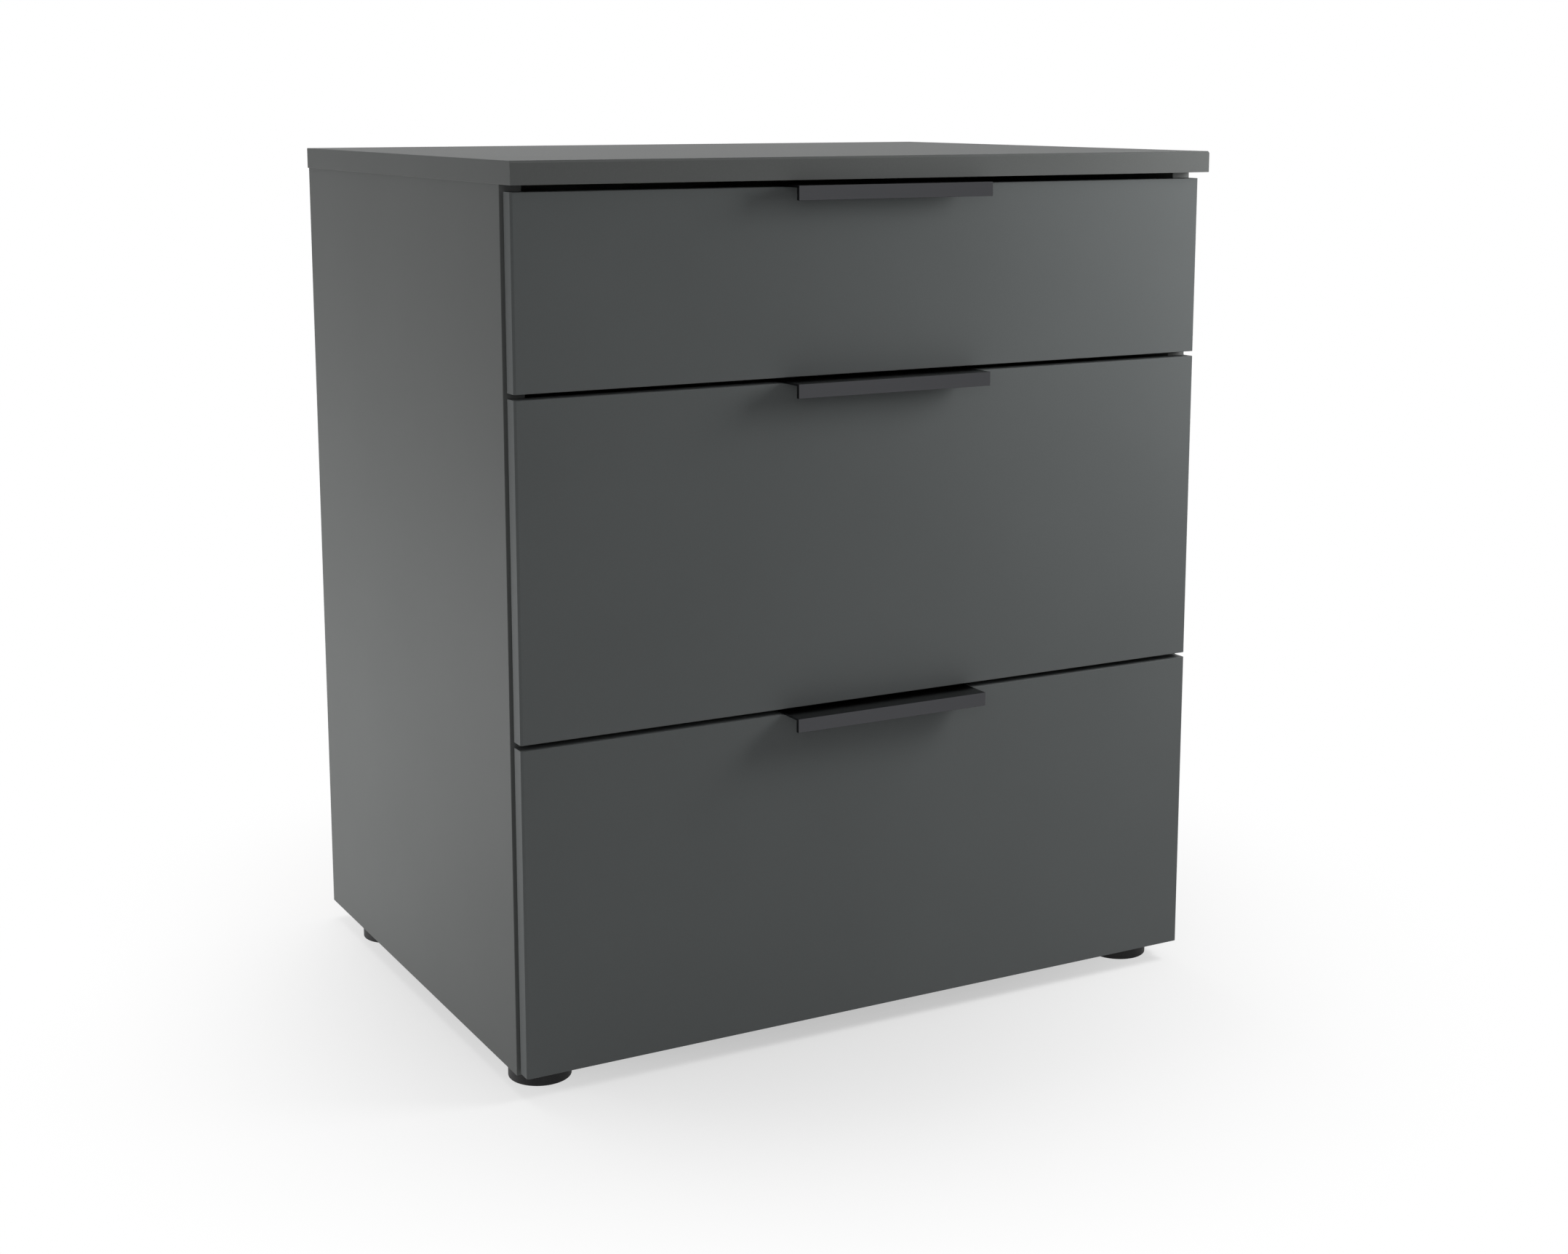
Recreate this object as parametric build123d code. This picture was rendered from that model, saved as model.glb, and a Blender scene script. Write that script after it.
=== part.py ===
from build123d import *
import os
from typing import NamedTuple

# Nightstand in melamine-faced board: three drawers with edge-pull handles on roller runners.
# Millimetres, +Z up. The drawers open toward -Y. The origin is on the floor, under the middle
# of the bounding box. Right-hand pieces are modelled and the left-hand ones mirrored from them.

# Top and carcass
TOP_WIDTH = 540.0
TOP_DEPTH = 410.0
TOP_THICKNESS = 15.0
TOP_SIDE_OVERHANG = 1.0
TOP_FRONT_OVERHANG = 7.5  # beyond the drawer fronts
TOP_FRONT_BEVEL = 1.4  # along the upper front edge
SIDE_HEIGHT = 585.0
BOARD = 15.0  # sides and bottom
BOARD_EDGE_RADIUS = 0.5
BACK_THICKNESS = 3.0
BACK_INSET = 10.0  # rear edge of the sides to the back panel
BACK_TONGUE = 6.0  # how far the back panel reaches into its grooves
GROOVE_PLAY = 0.3

# Feet
FOOT_HEIGHT = 14.5
FOOT_RADIUS = 21.5
FOOT_EDGE_RADIUS = 1.0
FOOT_RECESS_RADIUS = 9.0
FOOT_WEB = 5.0
FOOT_SIDE_INSET = 27.5  # side panel's outer face to the foot's centre
FOOT_FRONT_INSET = 27.0  # side panel's front edge to the foot's centre
FOOT_REAR_INSET = 59.0  # side panel's rear edge to the foot's centre

# Drawer fronts
FRONT_THICKNESS = 12.0
FRONT_STANDOFF = 1.7  # shadow gap between a front and the carcass
FRONT_SIDE_REVEAL = 2.0  # how far the side panels show beside a front
FRONT_GAP = 3.7  # between neighbouring fronts
FRONT_TOP_GAP = 4.5
FRONT_BOTTOM_RISE = 1.8
FRONT_SIDE_BEVEL = 1.4  # along the upright edges of a front's face
SHALLOW_FRONT_HEIGHT = 125.6

# Handles: a lip in front, a plate over the front's top edge, a leg screwed on behind
HANDLE_LENGTH = 150.0
HANDLE_REACH = 20.5  # drawer front's face to the lip's face
HANDLE_LIP_HEIGHT = 9.5
HANDLE_LIP_THICKNESS = 3.0
HANDLE_PLATE = 1.3
HANDLE_LEG_HEIGHT = 22.0
HANDLE_LEG_THICKNESS = 1.5
HANDLE_CORNER_RADIUS = 0.4
HANDLE_SCREW_SPACING = 96.0
HANDLE_SCREW_DROP = 12.0  # front's top edge to the screws

# Drawer boxes
BOX_BOARD = 12.0
BOX_BOTTOM_THICKNESS = 3.0
BOX_TOP_DROP = 30.0  # front's top edge to the box's top edge
BOX_GROOVE_RISE = 10.0  # box's lower edge to the groove
BOX_TONGUE = 5.0  # how far the bottom reaches into its grooves
BOX_REAR_GAP = 26.0  # drawer back to the carcass back panel
BOX_EDGE_RADIUS = 2.0

# Roller runners, in bent steel sheet
SHEET = 1.0
BEND_RADIUS = 1.5  # outside radius
ROLLER_RADIUS = 9.5
ROLLER_WIDTH = 6.0
ROLLER_EDGE = 0.8
ROLLER_PLAY = 0.2  # roller to the flange that it runs on
ROLLER_LIFT = 0.6  # roller to the flange that it does not run on
ROLLER_SIDE_PLAY = 0.2
ROLLER_END = 12.0  # runner's end to the roller's centre
SCREW_ROOM = 2.0  # cabinet web to its roller
RAIL_ROOM = 2.5  # rail web to its roller
PIN_RADIUS = 2.5
PIN_PLAY = 0.1
PIN_HEAD_RADIUS = 4.0
PIN_HEAD_THICKNESS = 1.0
PIN_SHOULDER_RADIUS = 4.5
CHANNEL_DROP = 5.8  # box's lower edge down to the channel's running face
CHANNEL_HEADROOM = 0.8
CHANNEL_LIP = 2.5
CHANNEL_LIP_PLAY = 0.6
RUNNER_SETBACK = 1.5  # carcass front edge to the channel's end
RUNNER_FLOOR_GAP = 4.0  # lowest channel above the bottom panel
SLOT_LENGTH = 20.0
SLOT_WIDTH = 4.5
RAIL_FRONT_GAP = 1.0

# Screws, cam fittings and dowels
SCREW_RADIUS = 1.75
SCREW_LENGTH = 10.0
SCREW_HEAD_RADIUS = 3.5
SCREW_HEAD_HEIGHT = 1.5
SCREW_PLAY = 0.1
CHANNEL_SCREW_INSET = 37.0
RAIL_SCREW_INSET = 45.0
BACK_SCREW_SPACING = 190.0
BOX_SCREW_SPACING = 170.0
CAM_RADIUS = 6.0
CAM_DEPTH = 9.5
CAM_AXIS_DEPTH = 6.0  # board face to the bolt's axis
CAM_TO_EDGE = 20.0
CAM_SLOT_LENGTH = 8.0
CAM_SLOT_WIDTH = 1.6
CAM_SLOT_DEPTH = 2.0
BOLT_RADIUS = 2.5
BOLT_NECK_RADIUS = 1.5
BOLT_HEAD_LENGTH = 3.0
BOLT_NECK_LENGTH = 6.5
BOLT_GRIP = 9.0  # bolt's thread in the neighbouring board
BOLT_BORE_RADIUS = 3.0
DOWEL_RADIUS = 4.0
DOWEL_LENGTH = 30.0
DOWEL_GRIP = 10.0  # dowel in the board that it meets face on
FITTING_PLAY = 0.1
CARCASS_CAM_INSET = 75.0
CARCASS_DOWEL_INSET = 42.0

# Planes across the width
SIDE_OUTER = TOP_WIDTH / 2 - TOP_SIDE_OVERHANG
SIDE_INNER = SIDE_OUTER - BOARD
FRONT_EDGE = SIDE_OUTER - FRONT_SIDE_REVEAL
ROLLER_NEAR = SIDE_INNER - SHEET - SCREW_ROOM  # roller face toward the carcass side
ROLLER_FAR = ROLLER_NEAR - ROLLER_WIDTH
CHANNEL_EDGE = ROLLER_FAR - CHANNEL_LIP_PLAY - SHEET
RAIL_WEB = ROLLER_FAR - RAIL_ROOM
BOX_OUTER = RAIL_WEB - SHEET
BOX_INNER = BOX_OUTER - BOX_BOARD
FOOT_X = SIDE_OUTER - FOOT_SIDE_INSET

# Planes from front to back
OVERALL_DEPTH = TOP_DEPTH - TOP_FRONT_OVERHANG + HANDLE_REACH
HANDLE_FACE = -OVERALL_DEPTH / 2
FRONT_FACE = HANDLE_FACE + HANDLE_REACH
TOP_FRONT = FRONT_FACE - TOP_FRONT_OVERHANG
FRONT_REAR = FRONT_FACE + FRONT_THICKNESS
CARCASS_FRONT = FRONT_REAR + FRONT_STANDOFF
CARCASS_REAR = OVERALL_DEPTH / 2
BACK_FACE = CARCASS_REAR - BACK_INSET - BACK_THICKNESS
BOX_REAR = BACK_FACE - BOX_REAR_GAP
CHANNEL_FRONT = CARCASS_FRONT + RUNNER_SETBACK
RUNNER_LENGTH = BOX_REAR - FRONT_REAR
CHANNEL_ROLLER_Y = CHANNEL_FRONT + ROLLER_END
RAIL_ROLLER_Y = BOX_REAR - ROLLER_END
FOOT_YS = (CARCASS_FRONT + FOOT_FRONT_INSET, CARCASS_REAR - FOOT_REAR_INSET)
CARCASS_CAM_YS = (CARCASS_FRONT + CARCASS_CAM_INSET, BACK_FACE - CARCASS_CAM_INSET)
CARCASS_DOWEL_YS = (CARCASS_FRONT + CARCASS_DOWEL_INSET, BACK_FACE - CARCASS_DOWEL_INSET)

# Levels of the carcass
CARCASS_BOTTOM = FOOT_HEIGHT
BOTTOM_FACE = CARCASS_BOTTOM + BOARD
TOP_UNDERSIDE = CARCASS_BOTTOM + SIDE_HEIGHT
TOP_FACE = TOP_UNDERSIDE + TOP_THICKNESS

# Levels of a runner, above the lower edge of its drawer box
RUN_FACE = -CHANNEL_DROP
CHANNEL_ROLLER_RISE = RUN_FACE + ROLLER_LIFT + ROLLER_RADIUS
RAIL_ROLLER_RISE = RUN_FACE + ROLLER_PLAY + ROLLER_RADIUS
TRACK_TOP = CHANNEL_ROLLER_RISE + ROLLER_RADIUS + ROLLER_PLAY + SHEET
CHANNEL_TOP = TRACK_TOP + CHANNEL_HEADROOM + SHEET
CHANNEL_MIDDLE = (RUN_FACE + CHANNEL_TOP) / 2
BOX_RISE = BOARD - FRONT_BOTTOM_RISE + RUNNER_FLOOR_GAP + SHEET + CHANNEL_DROP

DEEP_FRONT_HEIGHT = (
    SIDE_HEIGHT - FRONT_BOTTOM_RISE - FRONT_TOP_GAP - 2 * FRONT_GAP - SHALLOW_FRONT_HEIGHT
) / 2


class Drawer(NamedTuple):
    """Levels of one drawer, and how many cam fittings stand above each other at a corner."""

    front_bottom: float
    front_top: float
    cam_rows: int

    @property
    def box_bottom(self):
        return self.front_bottom + BOX_RISE

    @property
    def box_top(self):
        return self.front_top - BOX_TOP_DROP

    @property
    def groove_bottom(self):
        return self.box_bottom + BOX_GROOVE_RISE

    @property
    def groove_top(self):
        return self.groove_bottom + BOX_BOTTOM_THICKNESS

    @property
    def cam_levels(self):
        step = (self.box_top - self.groove_top) / self.cam_rows
        return [self.groove_top + step * (row + 0.5) for row in range(self.cam_rows)]


def stack_drawers():
    """Place the fronts above each other, from the lowest up."""
    drawers = {}
    level = CARCASS_BOTTOM + FRONT_BOTTOM_RISE
    for name, height, cam_rows in (
        ("lower", DEEP_FRONT_HEIGHT, 2),
        ("middle", DEEP_FRONT_HEIGHT, 2),
        ("upper", SHALLOW_FRONT_HEIGHT, 1),
    ):
        drawers[name] = Drawer(level, level + height, cam_rows)
        level += height + FRONT_GAP
    return drawers


DRAWERS = stack_drawers()
RIGHT = Vector(1, 0, 0)
REARWARD = Vector(0, 1, 0)
UP = Vector(0, 0, 1)


def block(x, y, z):
    """Box between a pair of limits along each axis."""
    middle = [(low + high) / 2 for low, high in (x, y, z)]
    sizes = [high - low for low, high in (x, y, z)]
    return Pos(*middle) * Box(*sizes)


def rod(start, direction, radius, length):
    """Cylinder from a point along a direction."""
    base = (Align.CENTER, Align.CENTER, Align.MIN)
    return Plane(origin=start, z_dir=direction) * Cylinder(radius, length, align=base)


def turned(start, direction, outline):
    """Solid turned about a direction from (radius, distance) points."""
    face = Plane.XZ * make_face(Polyline(*outline, close=True))
    return Plane(origin=start, z_dir=direction) * revolve(face, Axis.Z)


def bent_sheet(path_points, side, y_start, length):
    """Sheet profile bent along (x, z) points and drawn out along Y."""
    path = FilletPolyline(*path_points, radius=BEND_RADIUS)
    face = make_face(path.wire().offset_2d(SHEET, side=side))
    return extrude(Pos(0, y_start, 0) * (Plane.XZ * face), amount=length, dir=REARWARD)


def flipped(shape):
    """Left-hand copy of a right-hand shape."""
    return mirror(shape, about=Plane.YZ)


def both(shapes):
    """Right-hand shapes with their left-hand copies."""
    return shapes + [flipped(shape) for shape in shapes]


def cut(shape, tools):
    """Shape less every tool."""
    for tool in tools:
        shape = shape - tool
    return shape


def screw(seat, direction):
    """Pan-head screw with the underside of its head on the seat."""
    tip = SCREW_LENGTH - SCREW_RADIUS
    crown_radius = 0.6 * SCREW_HEAD_RADIUS
    rim_height = 0.5 * SCREW_HEAD_HEIGHT
    outline = [
        (0, -SCREW_HEAD_HEIGHT),
        (crown_radius, -SCREW_HEAD_HEIGHT),
        (SCREW_HEAD_RADIUS, -rim_height),
        (SCREW_HEAD_RADIUS, 0),
        (SCREW_RADIUS, 0),
        (SCREW_RADIUS, tip),
        (0, SCREW_LENGTH),
    ]
    return turned(seat, direction, outline)


def screw_hole(seat, direction):
    """Hole for a screw that sits on the seat."""
    return rod(seat, direction, SCREW_RADIUS + SCREW_PLAY, SCREW_LENGTH + SCREW_PLAY)


def cam_pocket(face_point, into, toward):
    """Pocket for a cam in a board's face, with the bore for its bolt out to the board's edge."""
    pocket = rod(face_point, into, CAM_RADIUS + FITTING_PLAY, CAM_DEPTH + FITTING_PLAY)
    return pocket + rod(face_point + into * CAM_AXIS_DEPTH, toward, BOLT_BORE_RADIUS, CAM_TO_EDGE)


def bolt_hole(face_point, into, toward):
    """Hole in the neighbouring board for the bolt of a cam at the face point."""
    mouth = face_point + into * CAM_AXIS_DEPTH + toward * CAM_TO_EDGE
    return rod(mouth, toward, BOLT_RADIUS + FITTING_PLAY, BOLT_GRIP + FITTING_PLAY)


def cam_fitting(face_point, into, toward):
    """Cam flush with the face point, and the bolt that it draws toward itself."""
    crossing = face_point + into * CAM_AXIS_DEPTH
    slots = Box(CAM_SLOT_LENGTH, CAM_SLOT_WIDTH, 2 * CAM_SLOT_DEPTH)
    slots += Box(CAM_SLOT_WIDTH, CAM_SLOT_LENGTH, 2 * CAM_SLOT_DEPTH)
    cam = rod(face_point, into, CAM_RADIUS, CAM_DEPTH)
    cam -= Plane(origin=face_point, x_dir=toward, z_dir=into) * slots
    cam -= rod(crossing - toward * BOLT_BORE_RADIUS, toward, BOLT_BORE_RADIUS, 2 * CAM_RADIUS)
    head = BOLT_HEAD_LENGTH / 2
    neck_end = head + BOLT_NECK_LENGTH
    thread_end = CAM_TO_EDGE + BOLT_GRIP
    outline = [
        (0, -head),
        (BOLT_RADIUS, -head),
        (BOLT_RADIUS, head),
        (BOLT_NECK_RADIUS, head),
        (BOLT_NECK_RADIUS, neck_end),
        (BOLT_RADIUS, neck_end),
        (BOLT_RADIUS, thread_end),
        (0, thread_end),
    ]
    return [cam, turned(crossing, toward, outline)]


def dowel(joint_point, toward):
    """Dowel across a joint, reaching its grip past the joint point."""
    start = joint_point - toward * (DOWEL_LENGTH - DOWEL_GRIP)
    return rod(start, toward, DOWEL_RADIUS, DOWEL_LENGTH)


def dowel_hole(joint_point, toward):
    """Hole through both boards for a dowel."""
    start = joint_point - toward * (DOWEL_LENGTH - DOWEL_GRIP + FITTING_PLAY)
    return rod(start, toward, DOWEL_RADIUS + FITTING_PLAY, DOWEL_LENGTH + 2 * FITTING_PLAY)


def top_cams():
    """Right-hand cams in the side panel's inner face, with bolts up into the top."""
    level = TOP_UNDERSIDE - CAM_TO_EDGE
    return [(Vector(SIDE_INNER, y, level), RIGHT, UP) for y in CARCASS_CAM_YS]


def bottom_cams():
    """Right-hand cams in the bottom panel's underside, with bolts out into the side panel."""
    x = SIDE_INNER - CAM_TO_EDGE
    return [(Vector(x, y, CARCASS_BOTTOM), UP, RIGHT) for y in CARCASS_CAM_YS]


def top_dowels():
    """Right-hand dowels between the side panel's upper edge and the top."""
    x = (SIDE_INNER + SIDE_OUTER) / 2
    return [(Vector(x, y, TOP_UNDERSIDE), UP) for y in CARCASS_DOWEL_YS]


def bottom_dowels():
    """Right-hand dowels between the bottom panel's edge and the side panel."""
    level = (CARCASS_BOTTOM + BOTTOM_FACE) / 2
    return [(Vector(SIDE_INNER, y, level), RIGHT) for y in CARCASS_DOWEL_YS]


def channel_screws(drawer):
    """Right-hand screws that hold a cabinet channel to the side panel."""
    level = drawer.box_bottom + CHANNEL_MIDDLE
    front = CHANNEL_FRONT + CHANNEL_SCREW_INSET
    rear = CHANNEL_FRONT + RUNNER_LENGTH - CHANNEL_SCREW_INSET
    ys = (front, (front + rear) / 2, rear)
    return [(Vector(SIDE_INNER - SHEET, y, level), RIGHT) for y in ys]


def foot_screws():
    """Right-hand screws up through the feet."""
    level = CARCASS_BOTTOM - FOOT_WEB
    return [(Vector(FOOT_X, y, level), UP) for y in FOOT_YS]


def back_screws():
    """Screws through the back panel into the bottom panel's rear edge."""
    level = (CARCASS_BOTTOM + BOTTOM_FACE) / 2
    xs = (-BACK_SCREW_SPACING, 0, BACK_SCREW_SPACING)
    return [(Vector(x, BACK_FACE + BACK_THICKNESS, level), -REARWARD) for x in xs]


def corner_cams(drawer):
    """Right-hand cams of a drawer box: in the side for the front, and in the back for the side."""
    front_y = FRONT_REAR + CAM_TO_EDGE
    rear_x = BOX_INNER - CAM_TO_EDGE
    front = [(Vector(BOX_INNER, front_y, z), RIGHT, -REARWARD) for z in drawer.cam_levels]
    rear = [(Vector(rear_x, BOX_REAR, z), -REARWARD, RIGHT) for z in drawer.cam_levels]
    return front, rear


def rail_screws(drawer):
    """Right-hand screws up through a drawer rail into the drawer side."""
    x = (BOX_INNER + BOX_OUTER) / 2
    ys = (FRONT_REAR + RAIL_SCREW_INSET, BOX_REAR - RAIL_SCREW_INSET)
    return [(Vector(x, y, drawer.box_bottom - SHEET), UP) for y in ys]


def handle_screws(drawer):
    """Screws through a handle's leg into the back of the drawer front."""
    y = FRONT_REAR + HANDLE_LEG_THICKNESS
    level = drawer.front_top - HANDLE_SCREW_DROP
    xs = (-HANDLE_SCREW_SPACING / 2, HANDLE_SCREW_SPACING / 2)
    return [(Vector(x, y, level), -REARWARD) for x in xs]


def box_screws(drawer):
    """Screws up through the drawer bottom into the drawer back."""
    y = BOX_REAR - BOX_BOARD / 2
    xs = (-BOX_SCREW_SPACING, 0, BOX_SCREW_SPACING)
    return [(Vector(x, y, drawer.groove_bottom), UP) for x in xs]


def top_panel():
    """Top with a bevelled front edge, softened side edges and a groove for the back panel."""
    panel = block((-TOP_WIDTH / 2, TOP_WIDTH / 2), (TOP_FRONT, CARCASS_REAR), (TOP_UNDERSIDE, TOP_FACE))
    front_edges = panel.faces().sort_by(Axis.Y)[0].edges().filter_by(Axis.X)
    panel = chamfer(front_edges.sort_by(Axis.Z)[-1], TOP_FRONT_BEVEL)
    panel = fillet(panel.edges().filter_by(Axis.Y), BOARD_EDGE_RADIUS)
    groove_end = SIDE_INNER + BACK_TONGUE + GROOVE_PLAY
    groove = block(
        (-groove_end, groove_end),
        (BACK_FACE - GROOVE_PLAY / 2, BACK_FACE + BACK_THICKNESS + GROOVE_PLAY / 2),
        (TOP_UNDERSIDE, TOP_UNDERSIDE + BACK_TONGUE + GROOVE_PLAY),
    )
    holes = [bolt_hole(*cam) for cam in top_cams()] + [dowel_hole(*peg) for peg in top_dowels()]
    return cut(panel, [groove] + both(holes))


def right_side_panel():
    """Side panel with softened front edges, a groove for the back and every bore."""
    panel = block(
        (SIDE_INNER, SIDE_OUTER),
        (CARCASS_FRONT, CARCASS_REAR),
        (CARCASS_BOTTOM, TOP_UNDERSIDE),
    )
    front_edges = panel.edges().filter_by(Axis.Z).sort_by(Axis.Y)[:2]
    panel = fillet(front_edges, BOARD_EDGE_RADIUS)
    groove = block(
        (SIDE_INNER, SIDE_INNER + BACK_TONGUE + GROOVE_PLAY),
        (BACK_FACE - GROOVE_PLAY / 2, BACK_FACE + BACK_THICKNESS + GROOVE_PLAY / 2),
        (CARCASS_BOTTOM, TOP_UNDERSIDE),
    )
    tools = [groove]
    tools += [cam_pocket(*cam) for cam in top_cams()]
    tools += [bolt_hole(*cam) for cam in bottom_cams()]
    tools += [dowel_hole(*peg) for peg in top_dowels() + bottom_dowels()]
    for drawer in DRAWERS.values():
        tools += [screw_hole(*seat) for seat in channel_screws(drawer)]
    return cut(panel, tools)


def bottom_panel():
    """Bottom between the sides, ending at the back panel's face."""
    panel = block((-SIDE_INNER, SIDE_INNER), (CARCASS_FRONT, BACK_FACE), (CARCASS_BOTTOM, BOTTOM_FACE))
    front_edges = panel.edges().filter_by(Axis.X).sort_by(Axis.Y)[:2]
    panel = fillet(front_edges, BOARD_EDGE_RADIUS)
    holes = [cam_pocket(*cam) for cam in bottom_cams()]
    holes += [dowel_hole(*peg) for peg in bottom_dowels()]
    holes += [screw_hole(*seat) for seat in foot_screws()]
    return cut(panel, both(holes) + [screw_hole(*seat) for seat in back_screws()])


def back_panel():
    """Thin back in the grooves of the sides and top, screwed to the bottom panel."""
    panel = block(
        (-SIDE_INNER - BACK_TONGUE, SIDE_INNER + BACK_TONGUE),
        (BACK_FACE, BACK_FACE + BACK_THICKNESS),
        (CARCASS_BOTTOM, TOP_UNDERSIDE + BACK_TONGUE),
    )
    return cut(panel, [screw_hole(*seat) for seat in back_screws()])


def foot(y):
    """Right-hand round foot, hollow below for its screw."""
    web_face = CARCASS_BOTTOM - FOOT_WEB
    hole = SCREW_RADIUS + SCREW_PLAY
    outline = [
        (hole, CARCASS_BOTTOM),
        (FOOT_RADIUS, CARCASS_BOTTOM),
        (FOOT_RADIUS, 0),
        (FOOT_RECESS_RADIUS, 0),
        (FOOT_RECESS_RADIUS, web_face),
        (hole, web_face),
    ]
    body = turned(Vector(FOOT_X, y, 0), UP, outline)
    tread = body.edges().filter_by(GeomType.CIRCLE).group_by(Axis.Z)[0].sort_by(SortBy.RADIUS)[-1]
    return fillet(tread, FOOT_EDGE_RADIUS)


def cabinet_channel(drawer):
    """Right-hand channel on the side panel, with its roller's pin at the front and a rear stop."""
    base = drawer.box_bottom
    path = [
        (CHANNEL_EDGE, base + RUN_FACE + CHANNEL_LIP),
        (CHANNEL_EDGE, base + RUN_FACE - SHEET),
        (SIDE_INNER, base + RUN_FACE - SHEET),
        (SIDE_INNER, base + CHANNEL_TOP),
        (ROLLER_FAR, base + CHANNEL_TOP),
    ]
    channel = bent_sheet(path, Side.LEFT, CHANNEL_FRONT, RUNNER_LENGTH)
    rear = CHANNEL_FRONT + RUNNER_LENGTH
    web_face = SIDE_INNER - SHEET
    channel += block(
        (ROLLER_FAR, SIDE_INNER - SHEET / 2),
        (rear - SHEET, rear),
        (base + RUN_FACE - SHEET / 2, base + CHANNEL_TOP - SHEET / 2),
    )
    seats = channel_screws(drawer)
    channel = cut(channel, [screw_hole(*seat) for seat in seats])
    slot_shape = SlotOverall(SLOT_LENGTH, SLOT_WIDTH)
    for (near, _), (far, _) in zip(seats, seats[1:]):
        middle = (near + far) / 2
        plane = Plane(origin=middle, x_dir=REARWARD, z_dir=RIGHT)
        channel -= extrude(plane * slot_shape, amount=SHEET)
    pin_foot = Vector(web_face, CHANNEL_ROLLER_Y, base + CHANNEL_ROLLER_RISE)
    return channel + roller_pin(pin_foot, -RIGHT, SCREW_ROOM)


def drawer_rail(drawer):
    """Right-hand rail under a drawer side, with its track above and its roller's pin at the rear."""
    base = drawer.box_bottom
    path = [
        (BOX_INNER, base),
        (BOX_OUTER, base),
        (BOX_OUTER, base + TRACK_TOP),
        (ROLLER_NEAR - ROLLER_LIFT, base + TRACK_TOP),
    ]
    front = FRONT_REAR + RAIL_FRONT_GAP
    rail = bent_sheet(path, Side.RIGHT, front, BOX_REAR - front)
    rail = cut(rail, [screw_hole(*seat) for seat in rail_screws(drawer)])
    pin_foot = Vector(RAIL_WEB, RAIL_ROLLER_Y, base + RAIL_ROLLER_RISE)
    return rail + roller_pin(pin_foot, RIGHT, RAIL_ROOM)


def roller_pin(foot_point, direction, room):
    """Riveted pin: a shoulder that spaces the roller from the web, and a head flush with the roller."""
    shoulder_end = room - ROLLER_SIDE_PLAY
    head_end = room + ROLLER_WIDTH
    outline = [
        (0, -SHEET / 2),
        (PIN_RADIUS, -SHEET / 2),
        (PIN_RADIUS, 0),
        (PIN_SHOULDER_RADIUS, 0),
        (PIN_SHOULDER_RADIUS, shoulder_end),
        (PIN_RADIUS, shoulder_end),
        (PIN_RADIUS, head_end - PIN_HEAD_THICKNESS),
        (PIN_HEAD_RADIUS, head_end - PIN_HEAD_THICKNESS),
        (PIN_HEAD_RADIUS, head_end),
        (0, head_end),
    ]
    return turned(foot_point, direction, outline)


def roller(face_point, direction):
    """Roller from its shoulder face along its pin, counterbored for the pin's head."""
    bore = PIN_RADIUS + PIN_PLAY
    counterbore = PIN_HEAD_RADIUS + PIN_PLAY
    floor = ROLLER_WIDTH - PIN_HEAD_THICKNESS - ROLLER_SIDE_PLAY
    outline = [
        (bore, 0),
        (ROLLER_RADIUS - ROLLER_EDGE, 0),
        (ROLLER_RADIUS, ROLLER_EDGE),
        (ROLLER_RADIUS, ROLLER_WIDTH - ROLLER_EDGE),
        (ROLLER_RADIUS - ROLLER_EDGE, ROLLER_WIDTH),
        (counterbore, ROLLER_WIDTH),
        (counterbore, floor),
        (bore, floor),
    ]
    return turned(face_point, direction, outline)


def cabinet_roller(drawer):
    """Right-hand roller at the front of a cabinet channel."""
    level = drawer.box_bottom + CHANNEL_ROLLER_RISE
    return roller(Vector(ROLLER_NEAR, CHANNEL_ROLLER_Y, level), -RIGHT)


def rail_roller(drawer):
    """Right-hand roller at the rear of a drawer rail."""
    level = drawer.box_bottom + RAIL_ROLLER_RISE
    return roller(Vector(ROLLER_FAR, RAIL_ROLLER_Y, level), RIGHT)


def bottom_groove(drawer, x, y):
    """Groove for a drawer bottom between the given limits."""
    low = drawer.groove_bottom - GROOVE_PLAY / 2
    high = drawer.groove_top + GROOVE_PLAY / 2
    return block(x, y, (low, high))


def drawer_front(drawer):
    """Front with bevelled sides and softened edges, grooved for the bottom and bored for fittings."""
    front = block(
        (-FRONT_EDGE, FRONT_EDGE),
        (FRONT_FACE, FRONT_REAR),
        (drawer.front_bottom, drawer.front_top),
    )
    upright_edges = front.faces().sort_by(Axis.Y)[0].edges().filter_by(Axis.Z)
    front = chamfer(upright_edges, FRONT_SIDE_BEVEL)
    faces = front.faces().sort_by(Axis.Y)
    front = fillet(faces[0].edges().filter_by(Axis.X) + faces[-1].edges(), BOARD_EDGE_RADIUS)
    groove_end = BOX_INNER + BOX_TONGUE + GROOVE_PLAY
    groove_floor = FRONT_REAR - BOX_TONGUE - GROOVE_PLAY
    tools = [bottom_groove(drawer, (-groove_end, groove_end), (groove_floor, FRONT_REAR))]
    tools += both([bolt_hole(*cam) for cam in corner_cams(drawer)[0]])
    tools += [screw_hole(*seat) for seat in handle_screws(drawer)]
    return cut(front, tools)


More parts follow.
